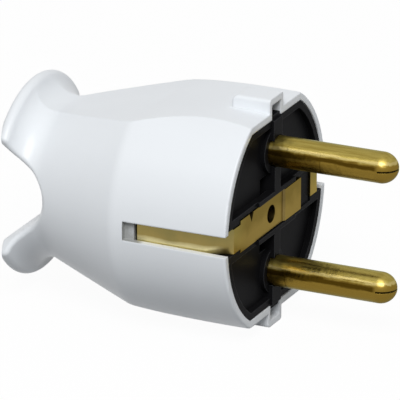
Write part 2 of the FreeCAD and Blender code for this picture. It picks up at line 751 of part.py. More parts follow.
def earth_plate():
    # Square clamp plate under the earth screw, its two side lips bent forward.
    half = EARTH_PLATE / 2
    back = -earth_plate_x()
    plate = block(back, back + EARTH_PLATE_T, HOLE_Y - half, HOLE_Y + half, -half, half)
    for sign in (1, -1):
        lo, hi = sorted((sign * half, sign * (half - PLATE_LIP)))
        plate = plate.fuse(block(back, back + EARTH_PLATE_T + PLATE_LIP,
                                 HOLE_Y + lo, HOLE_Y + hi, -half, half))
    hole = rod(STRAP_HOLE / 2 + SCREW_FIT, -FAR, 0, HOLE_Y, 0)
    return plate.cut(hole).removeSplitter()


def clamp_bar():
    # Arched bar over the cord, seen from the rear and run along the plug.
    base = -DECK + CLAMP_GAP
    end = CLAMP_SPAN / 2 + PILLAR_DIA / 2
    foot = CLAMP_SPAN / 2 - PILLAR_DIA / 2
    t = CLAMP_BAR_T

    def at(y, z):
        return vec(-CLAMP_X - CLAMP_BAR / 2, y, base + z)

    edges = [line(at(-end, 0), at(-foot, 0)), arc(at(-foot, 0), at(0, CLAMP_ARCH), at(foot, 0)),
             line(at(foot, 0), at(end, 0)), line(at(end, 0), at(end, t)),
             line(at(end, t), at(foot, t)), arc(at(foot, t), at(0, CLAMP_ARCH + t), at(-foot, t)),
             line(at(-foot, t), at(-end, t)), line(at(-end, t), at(-end, 0))]
    bar = face(edges).extrude(vec(CLAMP_BAR, 0, 0))

    def upright(edge):
        return abs(edge.tangentAt(edge.FirstParameter).z) > 1 - NEAR

    bar = soften(bar, CLAMP_SOFT, upright)
    for sign in (1, -1):
        bar = bar.cut(Part.makeCylinder(CLAMP_SCREW / 2 + SCREW_FIT, FAR,
                                        vec(-CLAMP_X, sign * CLAMP_SPAN / 2, -FAR / 2)))
    return bar


def clamp_screws():
    nut_low = -DECK - TRAY_THICK - NUT_H
    top = -DECK + CLAMP_GAP + CLAMP_BAR_T
    tip = nut_low - SCREW_TIP
    out = []
    for sign in (1, -1):
        s = slotted_screw(top - tip, CLAMP_SCREW, SCREW_HEAD, SCREW_HEAD_H)
        s.rotate(ORIGIN, Z_AXIS, 90)
        s.translate(vec(-CLAMP_X, sign * CLAMP_SPAN / 2, tip))
        out.append(s)
    return Part.makeCompound(out)


def clamp_nuts():
    radius = NUT_FLATS / 2 / math.cos(math.radians(30))
    low = -DECK - TRAY_THICK - NUT_H
    out = []
    for sign in (1, -1):
        y = sign * CLAMP_SPAN / 2
        ring = [vec(-CLAMP_X + radius * math.cos(math.radians(60 * i)),
                    y + radius * math.sin(math.radians(60 * i)), low) for i in range(6)]
        nut = polygon(ring).extrude(vec(0, 0, NUT_H))
        bore = Part.makeCylinder(CLAMP_SCREW / 2 + NUT_FIT, NUT_H, vec(-CLAMP_X, y, low))
        out.append(nut.cut(bore))
    return Part.makeCompound(out)


def build():
    os.makedirs("parts", exist_ok=True)
    nodes = {
        "housing": housing(),
        "contact_carrier": carrier(),
        "pin_upper": pin(PIN_Z),
        "pin_lower": pin(-PIN_Z),
        "terminal_screws": terminal_screws(),
        "earth_strap": strap(),
        "earth_screw": earth_screw(),
        "earth_clamp_plate": earth_plate(),
        "cord_clamp_bar": clamp_bar(),
        "cord_clamp_screws": clamp_screws(),
        "cord_clamp_nuts": clamp_nuts(),
    }
    for name, shape in nodes.items():
        shape.exportStep("parts/" + name + ".step")
        print(name, len(shape.Solids), shape.isValid(), round(shape.Volume, 1))


build()
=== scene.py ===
import math

import bpy
from mathutils import Matrix, Vector


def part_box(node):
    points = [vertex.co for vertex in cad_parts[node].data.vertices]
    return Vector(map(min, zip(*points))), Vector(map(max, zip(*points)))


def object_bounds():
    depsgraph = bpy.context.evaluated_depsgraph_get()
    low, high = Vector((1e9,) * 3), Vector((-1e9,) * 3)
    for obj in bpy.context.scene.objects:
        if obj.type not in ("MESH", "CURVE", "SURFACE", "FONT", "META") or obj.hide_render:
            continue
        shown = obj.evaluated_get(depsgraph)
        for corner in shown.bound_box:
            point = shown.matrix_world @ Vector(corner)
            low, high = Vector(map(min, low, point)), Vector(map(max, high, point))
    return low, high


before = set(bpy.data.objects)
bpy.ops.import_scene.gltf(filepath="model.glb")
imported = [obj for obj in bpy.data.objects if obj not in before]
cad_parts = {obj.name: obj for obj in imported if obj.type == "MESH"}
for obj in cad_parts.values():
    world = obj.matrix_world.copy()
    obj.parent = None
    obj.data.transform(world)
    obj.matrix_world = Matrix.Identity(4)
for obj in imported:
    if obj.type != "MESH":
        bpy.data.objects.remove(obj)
cad_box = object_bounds()

# Camera
# A long lens at the plug's near side, a little forward and above, so it shows the
# mating face, the side and the two finger ears with hardly any perspective.
CAMERA_AT = Vector((0.42806, -0.95570, 0.38541))
CAMERA_TURN = math.radians(24.748)
CAMERA_DOWN = math.radians(20.131)
CAMERA_ROLL = math.radians(0.290)
LENS_MM = 672.15
SENSOR_MM = 36.0
SEEN_FROM_M = 0.05
SEEN_TO_M = 10.0

camera_data = bpy.data.cameras.new("camera")
camera_data.sensor_width = SENSOR_MM
camera_data.lens = LENS_MM
camera_data.clip_start = SEEN_FROM_M
camera_data.clip_end = SEEN_TO_M
camera = bpy.data.objects.new("camera", camera_data)
camera.matrix_world = (
    Matrix.Translation(CAMERA_AT)
    @ Matrix.Rotation(CAMERA_TURN, 4, "Z")
    @ Matrix.Rotation(math.pi / 2 - CAMERA_DOWN, 4, "X")
    @ Matrix.Rotation(CAMERA_ROLL, 4, "Z")
)
bpy.context.scene.collection.objects.link(camera)
bpy.context.scene.camera = camera


# Housing
# One white thermoplastic cap, injection moulded in a polished mould, so it is
# smooth with a soft gloss. The carrier clicks into its open front.
WHITE_PLASTIC = "#ecf0f4"
WHITE_PLASTIC_SHADE = "#e7ebef"
# Painted shade for the blind end of each slot.
WHITE_PLASTIC_PAINTED_SHADE = "#a5a7a6"
WHITE_IOR = 1.49
WHITE_SMOOTHEST = 0.3
WHITE_DULLEST = 0.42
WHITE_CLOUD_M = 0.012
# A polished mould still leaves a faint ripple about a millimetre long.
PEEL_M = 0.0009
PEEL_DEPTH_M = 0.00001
PEEL_STRENGTH = 0.6
HOUSING_EDGE_M = 0.00032
EDGE_SAMPLES = 6
AIR_SAMPLES = 8
SLOT_SHADE_REACH_M = 0.003
SLOT_SHADE_STARTS_AT_AIR = 0.96
SLOT_SHADE_FULL_AT_AIR = 0.76
PAST_STRAP_M = 0.0008
SLOT_END_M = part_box("earth_strap")[0].x - PAST_STRAP_M
SLOT_END_HALF_M = 0.0022
SLOT_END_FADE_M = 0.0008

# How much finer structure a noise pattern holds inside its main size.
SOFT_DETAIL = 2.0
CLOUD_DETAIL = 3.0
RAGGED_DETAIL = 4.0

# A Mix node's sockets share their names between types, so its colour ones go by number.
MIX_SHARE = 0
MIX_UNDER = 6
MIX_OVER = 7
MIX_RESULT = 2


def paint(code):
    """Linear colour of an sRGB hex code."""
    parts = [int(code[i:i + 2], 16) / 255 for i in (1, 3, 5)]
    linear = [p / 12.92 if p <= 0.04045 else ((p + 0.055) / 1.055) ** 2.4 for p in parts]
    return (*linear, 1.0)


def add(tree, kind, settings, inputs):
    """Adds a node: its settings, then a value or a link for each input, by name or number."""
    made = tree.nodes.new(kind)
    for name, value in settings.items():
        setattr(made, name, value)
    for name, value in inputs.items():
        if isinstance(value, bpy.types.NodeSocket):
            tree.links.new(value, made.inputs[name])
        else:
            made.inputs[name].default_value = value
    return made


def new_material(name):
    """An empty material, its tree and its place in metres on the object."""
    material = bpy.data.materials.new(name)
    material.use_nodes = True
    material.node_tree.nodes.clear()
    place = add(material.node_tree, "ShaderNodeTexCoord", {}, {}).outputs["Object"]
    return material, material.node_tree, place


def slot_end_painted_shade(tree, place):
    """Painted shade in the blind end of each slot, where the strap's arm stops."""
    air = add(tree, "ShaderNodeAmbientOcclusion", {"samples": AIR_SAMPLES}, {"Distance": SLOT_SHADE_REACH_M})
    narrow = add(tree, "ShaderNodeMapRange", {}, {
        "Value": air.outputs["AO"], "From Min": SLOT_SHADE_STARTS_AT_AIR, "From Max": SLOT_SHADE_FULL_AT_AIR})
    along = add(tree, "ShaderNodeSeparateXYZ", {}, {0: place}).outputs["X"]
    off = add(tree, "ShaderNodeMath", {"operation": "SUBTRACT"}, {0: along, 1: SLOT_END_M})
    off = add(tree, "ShaderNodeMath", {"operation": "ABSOLUTE"}, {0: off.outputs[0]})
    at_end = add(tree, "ShaderNodeMapRange", {}, {
        "Value": off.outputs[0], "From Min": SLOT_END_HALF_M,
        "From Max": SLOT_END_HALF_M - SLOT_END_FADE_M})
    painted_shade = add(tree, "ShaderNodeMath", {"operation": "MULTIPLY"}, {
        0: narrow.outputs[0], 1: at_end.outputs[0]})
    return painted_shade.outputs[0]


def white_plastic():
    """Glossy white: two whites in faint clouds, and a ripple that breaks the highlights softly."""
    material, tree, place = new_material("polished_white_thermoplastic")
    cloud = add(tree, "ShaderNodeTexNoise", {}, {
        "Vector": place, "Scale": 1 / WHITE_CLOUD_M, "Detail": CLOUD_DETAIL})
    clean = add(tree, "ShaderNodeMix", {"data_type": "RGBA"}, {
        MIX_SHARE: cloud.outputs["Fac"], MIX_UNDER: paint(WHITE_PLASTIC),
        MIX_OVER: paint(WHITE_PLASTIC_SHADE)})
    # Painted shade darkens the blind end of each slot, where it is hollow.
    colour = add(tree, "ShaderNodeMix", {"data_type": "RGBA"}, {
        MIX_SHARE: slot_end_painted_shade(tree, place), MIX_UNDER: clean.outputs[MIX_RESULT],
        MIX_OVER: paint(WHITE_PLASTIC_PAINTED_SHADE)})
    gloss = add(tree, "ShaderNodeMapRange", {}, {
        "Value": cloud.outputs["Fac"], "To Min": WHITE_SMOOTHEST, "To Max": WHITE_DULLEST})
    peel = add(tree, "ShaderNodeTexNoise", {}, {
        "Vector": place, "Scale": 1 / PEEL_M, "Detail": SOFT_DETAIL})
    edge = add(tree, "ShaderNodeBevel", {"samples": EDGE_SAMPLES}, {"Radius": HOUSING_EDGE_M})
    bump = add(tree, "ShaderNodeBump", {}, {
        "Height": peel.outputs["Fac"], "Distance": PEEL_DEPTH_M, "Strength": PEEL_STRENGTH,
        "Normal": edge.outputs["Normal"]})
    shader = add(tree, "ShaderNodeBsdfPrincipled", {}, {
        "Base Color": colour.outputs[MIX_RESULT], "Roughness": gloss.outputs[0],
        "Normal": bump.outputs["Normal"], "IOR": WHITE_IOR})
    add(tree, "ShaderNodeOutputMaterial", {}, {"Surface": shader.outputs[0]})
    return material


def dress(nodes, material):
    """Gives CAD nodes their finish."""
    for name in nodes:
        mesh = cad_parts[name].data
        mesh.materials.clear()
        mesh.materials.append(material)


dress(["housing"], white_plastic())


# Contact carrier and cord clamp bar
# Black glass-filled polyamide, moulded in a spark-eroded mould: a fine dull grain that hardly shines, with
# corners rubbed smooth and grey. The grey on outward corners is partly wear and partly a painted glint.
BLACK_PLASTIC = "#111112"
BLACK_PLASTIC_GREY = "#18181a"
# Grey for outward corners: partly wear, partly a painted glint.
BLACK_PLASTIC_WORN_AND_GLINT = "#46474a"
BLACK_IOR = 1.53
BLACK_ROUGHNESS = 0.45
BLACK_SPECULAR = 0.015
BLACK_CLOUD_M = 0.004
# The real grain is about 0.1 mm across. It is drawn coarser, so that it shows.
GRAIN_M = 0.00035
GRAIN_DEPTH_M = 0.000012
GRAIN_STRENGTH = 0.8
CARRIER_EDGE_M = 0.00018
GLINT_AND_WEAR_STARTS_AT_TURN = 0.98
GLINT_AND_WEAR_FULL_AT_TURN = 0.8
CORNER_REACH_M = 0.0006
HOLLOW_AIR = 0.7
OUTWARD_AIR = 0.95


def corner_wear_and_painted_glint(tree, edge):
    """Outward corners, rubbed smooth and grey and lightened as a painted glint: there the rounded normal
    leaves the flat one.
    """
    flat = add(tree, "ShaderNodeNewGeometry", {}, {}).outputs["Normal"]
    turned = add(tree, "ShaderNodeVectorMath", {"operation": "DOT_PRODUCT"}, {0: edge, 1: flat})
    corner = add(tree, "ShaderNodeMapRange", {}, {
        "Value": turned.outputs["Value"], "From Min": GLINT_AND_WEAR_STARTS_AT_TURN, "From Max": GLINT_AND_WEAR_FULL_AT_TURN})
    air = add(tree, "ShaderNodeAmbientOcclusion", {"samples": AIR_SAMPLES}, {"Distance": CORNER_REACH_M})
    outward = add(tree, "ShaderNodeMapRange", {}, {
        "Value": air.outputs["AO"], "From Min": HOLLOW_AIR, "From Max": OUTWARD_AIR})
    worn_and_glinting = add(tree, "ShaderNodeMath", {"operation": "MULTIPLY"}, {
        0: corner.outputs[0], 1: outward.outputs[0]})
    return worn_and_glinting.outputs[0]


def black_plastic():
    """Dull black: near black in faint clouds, a fine grain, and grey corners that are partly wear and partly
    painted glint.
    """
    material, tree, place = new_material("spark_eroded_black_polyamide")
    cloud = add(tree, "ShaderNodeTexNoise", {}, {
        "Vector": place, "Scale": 1 / BLACK_CLOUD_M, "Detail": RAGGED_DETAIL})
    clean = add(tree, "ShaderNodeMix", {"data_type": "RGBA"}, {
        MIX_SHARE: cloud.outputs["Fac"], MIX_UNDER: paint(BLACK_PLASTIC),
        MIX_OVER: paint(BLACK_PLASTIC_GREY)})
    edge = add(tree, "ShaderNodeBevel", {"samples": EDGE_SAMPLES}, {"Radius": CARRIER_EDGE_M})
    # Outward corners lighter: partly wear, partly a painted glint.
    colour = add(tree, "ShaderNodeMix", {"data_type": "RGBA"}, {
        MIX_SHARE: corner_wear_and_painted_glint(tree, edge.outputs["Normal"]), MIX_UNDER: clean.outputs[MIX_RESULT],
        MIX_OVER: paint(BLACK_PLASTIC_WORN_AND_GLINT)})
    grain = add(tree, "ShaderNodeTexNoise", {}, {
        "Vector": place, "Scale": 1 / GRAIN_M, "Detail": SOFT_DETAIL})
    bump = add(tree, "ShaderNodeBump", {}, {
        "Height": grain.outputs["Fac"], "Distance": GRAIN_DEPTH_M, "Strength": GRAIN_STRENGTH,
        "Normal": edge.outputs["Normal"]})
    shader = add(tree, "ShaderNodeBsdfPrincipled", {}, {
        "Base Color": colour.outputs[MIX_RESULT], "Roughness": BLACK_ROUGHNESS,
        "Specular IOR Level": BLACK_SPECULAR, "Normal": bump.outputs["Normal"], "IOR": BLACK_IOR})
    add(tree, "ShaderNodeOutputMaterial", {}, {"Surface": shader.outputs[0]})
    return material


dress(["contact_carrier", "cord_clamp_bar"], black_plastic())


# Pins
# Turned from solid brass rod, slit at the nose, then drawn in and out of sockets: fine lines run along each
# pin. A bright line along each side is a painted highlight, and the dark band below it and the darker under
# side are painted reflection. Near the face the under side is duller brass.
PIN_RUBBED = "#a5944e"
PIN_RUBBED_LOW = "#927f3b"
# Painted highlight: a bright line along each side.
PIN_PAINTED_HIGHLIGHT = "#bfae76"
# Painted reflection: the darker under side.
PIN_PAINTED_DARK_UNDER = "#826a2b"
# Painted reflection for the dark band along each side, and also the worn ring's stain.
PIN_STAIN_AND_DARK_REFLECTION = "#4c390c"
PIN_DULL = "#7a6226"
PIN_TINT = "#d2dad0"
# The real lines are about 0.1 mm apart. They are drawn coarser, so that they show.
PIN_LINES_M = 0.00045
PIN_LINES_STRETCH = 14.0
PIN_LINES_BREAK = 0.6
PIN_LINES_DEPTH_M = 0.000008
PIN_LINES_STRENGTH = 0.5
PIN_PATCH_M = 0.0022
PIN_PATCH_BREAK = 0.65
PIN_DENT_M = 0.0015
PIN_DENT_DEPTH_M = 0.00007
PIN_EDGE_M = 0.0001
# Both pins end alike.
NOSE_LONG_M = 0.00295
NOSE_FROM_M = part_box("pin_upper")[1].x - NOSE_LONG_M

# The bands follow how far the surface faces up: 1 on top, 0 at the sides, -1 below.
RAGGED_BY_LINES = 0.17
RAGGED_BY_PATCHES = 0.1
TOP_TONE_FROM_UP = 0.36
TOP_TONE_FADE = 0.1
HIGHLIGHT_AT_UP = 0.52
HIGHLIGHT_HALF = 0.1
HIGHLIGHT_SHARE = 0.6
DARK_REFLECTION_AT_UP = 0.19
DARK_REFLECTION_HALF = 0.21
DARK_REFLECTION_FADE_M = 0.0006
LOW_LINES = 0.36
HIGH_LINES = 0.62


def wear_lines(tree, place):
    """Fine lines along the pin, from 0 to 1."""
    stretch = add(tree, "ShaderNodeMapping", {}, {
        "Vector": place, "Scale": (1 / PIN_LINES_STRETCH, 1.0, 1.0)})
    lines = add(tree, "ShaderNodeTexNoise", {}, {
        "Vector": stretch.outputs[0], "Scale": 1 / PIN_LINES_M, "Detail": RAGGED_DETAIL,
        "Roughness": PIN_LINES_BREAK})
    return lines.outputs["Fac"]


def facing_up(tree, lines, patch):
    """How far the surface faces up, made ragged by the lines and by patches of wear."""
    facing = add(tree, "ShaderNodeSeparateXYZ", {}, {
        0: add(tree, "ShaderNodeTexCoord", {}, {}).outputs["Normal"]})
    by_lines = add(tree, "ShaderNodeMapRange", {"clamp": False}, {
        "Value": lines, "To Min": -RAGGED_BY_LINES, "To Max": RAGGED_BY_LINES})
    up = add(tree, "ShaderNodeMath", {"operation": "ADD"}, {
        0: by_lines.outputs[0], 1: facing.outputs["Z"]})
    by_patches = add(tree, "ShaderNodeMapRange", {"clamp": False}, {
        "Value": patch, "To Min": -RAGGED_BY_PATCHES, "To Max": RAGGED_BY_PATCHES})
    up = add(tree, "ShaderNodeMath", {"operation": "ADD"}, {0: up.outputs[0], 1: by_patches.outputs[0]})
    return up.outputs[0]


def top_over_painted_dark_under(tree, lines, up):
    """Brass in two tones along the lines on top, over darker brass below as a painted reflection."""
    tone = add(tree, "ShaderNodeMapRange", {}, {
        "Value": lines, "From Min": LOW_LINES, "From Max": HIGH_LINES})
    rubbed = add(tree, "ShaderNodeMix", {"data_type": "RGBA"}, {
        MIX_SHARE: tone.outputs[0], MIX_UNDER: paint(PIN_RUBBED_LOW), MIX_OVER: paint(PIN_RUBBED)})
    top = add(tree, "ShaderNodeMapRange", {}, {
        "Value": up, "From Min": TOP_TONE_FROM_UP, "From Max": TOP_TONE_FROM_UP + TOP_TONE_FADE})
    colour = add(tree, "ShaderNodeMix", {"data_type": "RGBA"}, {
        MIX_SHARE: top.outputs[0], MIX_UNDER: paint(PIN_PAINTED_DARK_UNDER), MIX_OVER: rubbed.outputs[MIX_RESULT]})
    return colour.outputs[MIX_RESULT]


def lengthways_band(tree, up, colour, code, middle, half, share):
    """Lays a colour along both sides of the pin, where it faces up by middle, give or take half."""
    off = add(tree, "ShaderNodeMath", {"operation": "SUBTRACT"}, {0: up, 1: middle})
    off = add(tree, "ShaderNodeMath", {"operation": "ABSOLUTE"}, {0: off.outputs[0]})
    inside = add(tree, "ShaderNodeMapRange", {}, {
        "Value": off.outputs[0], "From Min": half, "From Max": half / 2})
    inside = add(tree, "ShaderNodeMath", {"operation": "MULTIPLY"}, {0: inside.outputs[0], 1: share})
    laid = add(tree, "ShaderNodeMix", {"data_type": "RGBA"}, {
        MIX_SHARE: inside.outputs[0], MIX_UNDER: colour, MIX_OVER: paint(code)})
    return laid.outputs[MIX_RESULT]


DULL_END_M = {"pin_upper": 0.0081, "pin_lower": 0.0026}
DULL_RAGGED_M = 0.0012
DULL_FADE_M = 0.0004
DULL_FADE_UP = 0.1


def dull_end_colour(tree, colour, patch, along, up, dull_end):
    """Lays dull brass on the under side, from the face to a ragged end."""
    ragged = add(tree, "ShaderNodeMapRange", {"clamp": False}, {
        "Value": patch, "To Min": DULL_RAGGED_M, "To Max": -DULL_RAGGED_M})
    reach = add(tree, "ShaderNodeMath", {"operation": "ADD"}, {0: ragged.outputs[0], 1: along})
    near = add(tree, "ShaderNodeMapRange", {}, {
        "Value": reach.outputs[0], "From Min": dull_end + DULL_FADE_M, "From Max": dull_end - DULL_FADE_M})
    under = add(tree, "ShaderNodeMapRange", {}, {
        "Value": up, "From Min": DULL_FADE_UP, "From Max": -DULL_FADE_UP})
    dull = add(tree, "ShaderNodeMath", {"operation": "MULTIPLY"}, {
        0: near.outputs[0], 1: under.outputs[0]})
    laid = add(tree, "ShaderNodeMix", {"data_type": "RGBA"}, {
        MIX_SHARE: dull.outputs[0], MIX_UNDER: colour, MIX_OVER: paint(PIN_DULL)})
    return laid.outputs[MIX_RESULT]


RING_HALF_M = 0.00014
RING_SHARE = 0.8
RING_ENDS_AT_UP = 0.6
RING_FULL_AT_UP = 0.3


def worn_ring_colour(tree, colour, along, up, dull_end):
    """Lays a thin brown ring where a contact's edge stops, on all but the top."""
    off = add(tree, "ShaderNodeMath", {"operation": "SUBTRACT"}, {0: along, 1: dull_end})
    off = add(tree, "ShaderNodeMath", {"operation": "ABSOLUTE"}, {0: off.outputs[0]})
    ring = add(tree, "ShaderNodeMapRange", {}, {
        "Value": off.outputs[0], "From Min": RING_HALF_M, "From Max": 0.0, "To Max": RING_SHARE})
    low = add(tree, "ShaderNodeMapRange", {}, {
        "Value": up, "From Min": RING_ENDS_AT_UP, "From Max": RING_FULL_AT_UP})
    ring = add(tree, "ShaderNodeMath", {"operation": "MULTIPLY"}, {0: ring.outputs[0], 1: low.outputs[0]})
    laid = add(tree, "ShaderNodeMix", {"data_type": "RGBA"}, {
        MIX_SHARE: ring.outputs[0], MIX_UNDER: colour, MIX_OVER: paint(PIN_STAIN_AND_DARK_REFLECTION)})
    return laid.outputs[MIX_RESULT]


PIN_SMOOTHEST = 0.2
PIN_DULLEST = 0.38
SMOOTH_LINES = 0.3
DULL_LINES = 0.7
FACE_END_ROUGHNESS = 0.36
FACE_END_M = 0.005
NOSE_ROUGHNESS = 0.44
NOSE_FADE_BACK_M = 0.0006
NOSE_FADE_ON_M = 0.0008


def pin_roughness(tree, lines, along):
    """Smooth along the rubbed length, duller at both ends."""
    gloss = add(tree, "ShaderNodeMapRange", {}, {
        "Value": lines, "From Min": SMOOTH_LINES, "From Max": DULL_LINES,
        "To Min": PIN_SMOOTHEST, "To Max": PIN_DULLEST})
    # The first few millimetres never enter a contact and stay duller.
    face_end = add(tree, "ShaderNodeMapRange", {}, {
        "Value": along, "From Min": 0.0, "From Max": FACE_END_M,
        "To Min": FACE_END_ROUGHNESS, "To Max": PIN_SMOOTHEST})
    gloss = add(tree, "ShaderNodeMath", {"operation": "MAXIMUM"}, {
        0: gloss.outputs[0], 1: face_end.outputs[0]})
    # The nose is rubbed every way, so its highlight spreads.
    nose = add(tree, "ShaderNodeMapRange", {}, {
        "Value": along, "From Min": NOSE_FROM_M - NOSE_FADE_BACK_M, "From Max": NOSE_FROM_M + NOSE_FADE_ON_M,
        "To Min": PIN_SMOOTHEST, "To Max": NOSE_ROUGHNESS})
    gloss = add(tree, "ShaderNodeMath", {"operation": "MAXIMUM"}, {
        0: gloss.outputs[0], 1: nose.outputs[0]})
    return gloss.outputs[0]


def pin_relief(tree, place, lines):
    """The lines' own relief, over shallow dents from knocks that break the highlights."""
    dent = add(tree, "ShaderNodeTexNoise", {}, {
        "Vector": place, "Scale": 1 / PIN_DENT_M, "Detail": CLOUD_DETAIL})
    edge = add(tree, "ShaderNodeBevel", {"samples": EDGE_SAMPLES}, {"Radius": PIN_EDGE_M})
    dented = add(tree, "ShaderNodeBump", {}, {
        "Height": dent.outputs["Fac"], "Distance": PIN_DENT_DEPTH_M,
        "Normal": edge.outputs["Normal"]})
    bump = add(tree, "ShaderNodeBump", {}, {
        "Height": lines, "Distance": PIN_LINES_DEPTH_M, "Strength": PIN_LINES_STRENGTH,
        "Normal": dented.outputs["Normal"]})
    return bump.outputs["Normal"]


def turned_brass(dull_end):
    """Brass with highlights drawn out along the pin, lengthways bands of painted highlight and painted
    reflection, duller brass under the face end and a worn ring.
    """
    material, tree, place = new_material("turned_brass_rubbed_lengthways")
    lines = wear_lines(tree, place)
    patch = add(tree, "ShaderNodeTexNoise", {}, {
        "Vector": place, "Scale": 1 / PIN_PATCH_M, "Detail": CLOUD_DETAIL,
        "Roughness": PIN_PATCH_BREAK}).outputs["Fac"]
    along = add(tree, "ShaderNodeSeparateXYZ", {}, {0: place}).outputs["X"]
    up = facing_up(tree, lines, patch)
    before_nose = add(tree, "ShaderNodeMapRange", {}, {
        "Value": along, "From Min": NOSE_FROM_M + DARK_REFLECTION_FADE_M, "From Max": NOSE_FROM_M}).outputs[0]
    # Painted reflection: darker brass on the under side.
    colour = top_over_painted_dark_under(tree, lines, up)
    # Painted reflection: a dark band along each side, below the bright line.
    colour = lengthways_band(tree, up, colour, PIN_STAIN_AND_DARK_REFLECTION, DARK_REFLECTION_AT_UP, DARK_REFLECTION_HALF, before_nose)
    # Painted highlight: a bright line along each side.
    colour = lengthways_band(tree, up, colour, PIN_PAINTED_HIGHLIGHT, HIGHLIGHT_AT_UP, HIGHLIGHT_HALF, HIGHLIGHT_SHARE)
    colour = dull_end_colour(tree, colour, patch, along, up, dull_end)
    colour = worn_ring_colour(tree, colour, along, up, dull_end)
    shader = add(tree, "ShaderNodeBsdfPrincipled", {}, {
        "Base Color": colour, "Metallic": 1.0, "Roughness": pin_roughness(tree, lines, along),
        "Specular Tint": paint(PIN_TINT), "Normal": pin_relief(tree, place, lines)})
    add(tree, "ShaderNodeOutputMaterial", {}, {"Surface": shader.outputs[0]})
    return material


for pin, dull_end in DULL_END_M.items():
    dress([pin], turned_brass(dull_end))


# Earth strap
# Stamped and bent from rolled brass sheet, satin, with its rolling lines across the face. A socket's clips
# rub the two arms clean, and the face between them stays brown. A bright lower edge outside is a painted
# reflection, and the darker upper edge is painted shade.
STRAP_ARM = "#92814c"
# Painted shade for the arms' upper edge.
STRAP_ARM_PAINTED_SHADE = "#827748"
# Painted reflection for the lower edge outside.
STRAP_LOW_EDGE_PAINTED_REFLECTION = "#e2d6a2"
STRAP_FACE = "#837144"
# Painted shade for the face's upper edge.
STRAP_FACE_PAINTED_SHADE = "#6d5e38"
STRAP_TINT = "#e0d4b4"
STRAP_ROUGHNESS = 0.28
# Real rolling lines are finer than 0.1 mm. They are drawn coarser, so that they show.
STRAP_LINES_M = 0.0004
STRAP_LINES_STRETCH = 10
STRAP_LINES_DEPTH_M = 0.00001
STRAP_LINES_STRENGTH = 0.5
STRAP_CLOUD_M = 0.003
STRAP_SIDE_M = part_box("earth_strap")[1].y
FACE_ENDS_M = STRAP_SIDE_M - 0.00625
ARM_BEGINS_M = STRAP_SIDE_M - 0.00225
OUTSIDE_M = STRAP_SIDE_M - 0.00055
OUTSIDE_FADE_M = 0.0006
# Painted shade: where the darker upper edge begins and ends.
UPPER_SHADE_RAGGED_M = 0.0025
UPPER_SHADE_FROM_M = -0.0009
UPPER_SHADE_FULL_M = 0.0013
# Painted reflection: where the bright lower edge begins and ends.
EDGE_RAGGED_M = 0.0003
EDGE_FROM_M = -0.0006
EDGE_FADE_M = 0.0007


def ragged_height(tree, height, cloud, by):
    """Height on the strap, made ragged by a cloud."""
    shift = add(tree, "ShaderNodeMapRange", {"clamp": False}, {
        "Value": cloud, "To Min": -by, "To Max": by})
    ragged = add(tree, "ShaderNodeMath", {"operation": "ADD"}, {0: shift.outputs[0], 1: height})
    return ragged.outputs[0]


def strap_colour(tree, place):
    """Brown face, cleaner arms, painted shade along the upper edge and a painted reflection along the lower
    edge outside.
    """
    cloud = add(tree, "ShaderNodeTexNoise", {}, {
        "Vector": place, "Scale": 1 / STRAP_CLOUD_M, "Detail": CLOUD_DETAIL}).outputs["Fac"]
    at = add(tree, "ShaderNodeSeparateXYZ", {}, {0: place})
    across = add(tree, "ShaderNodeMath", {"operation": "ABSOLUTE"}, {0: at.outputs["Y"]})
    # Painted shade: darker towards the upper edge.
    upper_shade = add(tree, "ShaderNodeMapRange", {}, {
        "Value": ragged_height(tree, at.outputs["Z"], cloud, UPPER_SHADE_RAGGED_M),
        "From Min": UPPER_SHADE_FROM_M, "From Max": UPPER_SHADE_FULL_M})
    face = add(tree, "ShaderNodeMix", {"data_type": "RGBA"}, {
        MIX_SHARE: upper_shade.outputs[0], MIX_UNDER: paint(STRAP_FACE), MIX_OVER: paint(STRAP_FACE_PAINTED_SHADE)})
    arm = add(tree, "ShaderNodeMix", {"data_type": "RGBA"}, {
        MIX_SHARE: upper_shade.outputs[0], MIX_UNDER: paint(STRAP_ARM), MIX_OVER: paint(STRAP_ARM_PAINTED_SHADE)})
    on_arm = add(tree, "ShaderNodeMapRange", {}, {
        "Value": across.outputs[0], "From Min": FACE_ENDS_M, "From Max": ARM_BEGINS_M})
    colour = add(tree, "ShaderNodeMix", {"data_type": "RGBA"}, {
        MIX_SHARE: on_arm.outputs[0], MIX_UNDER: face.outputs[MIX_RESULT],
        MIX_OVER: arm.outputs[MIX_RESULT]})
    # Painted reflection: a bright band along the lower edge outside.
    outside = add(tree, "ShaderNodeMapRange", {}, {
        "Value": across.outputs[0], "From Min": OUTSIDE_M - OUTSIDE_FADE_M, "From Max": OUTSIDE_M})
    low = add(tree, "ShaderNodeMapRange", {}, {
        "Value": ragged_height(tree, at.outputs["Z"], cloud, EDGE_RAGGED_M),
        "From Min": EDGE_FROM_M, "From Max": EDGE_FROM_M - EDGE_FADE_M})
    low_edge_reflection = add(tree, "ShaderNodeMath", {"operation": "MULTIPLY"}, {
        0: low.outputs[0], 1: outside.outputs[0]})
    colour = add(tree, "ShaderNodeMix", {"data_type": "RGBA"}, {
        MIX_SHARE: low_edge_reflection.outputs[0], MIX_UNDER: colour.outputs[MIX_RESULT],
        MIX_OVER: paint(STRAP_LOW_EDGE_PAINTED_REFLECTION)})
    return colour.outputs[MIX_RESULT]


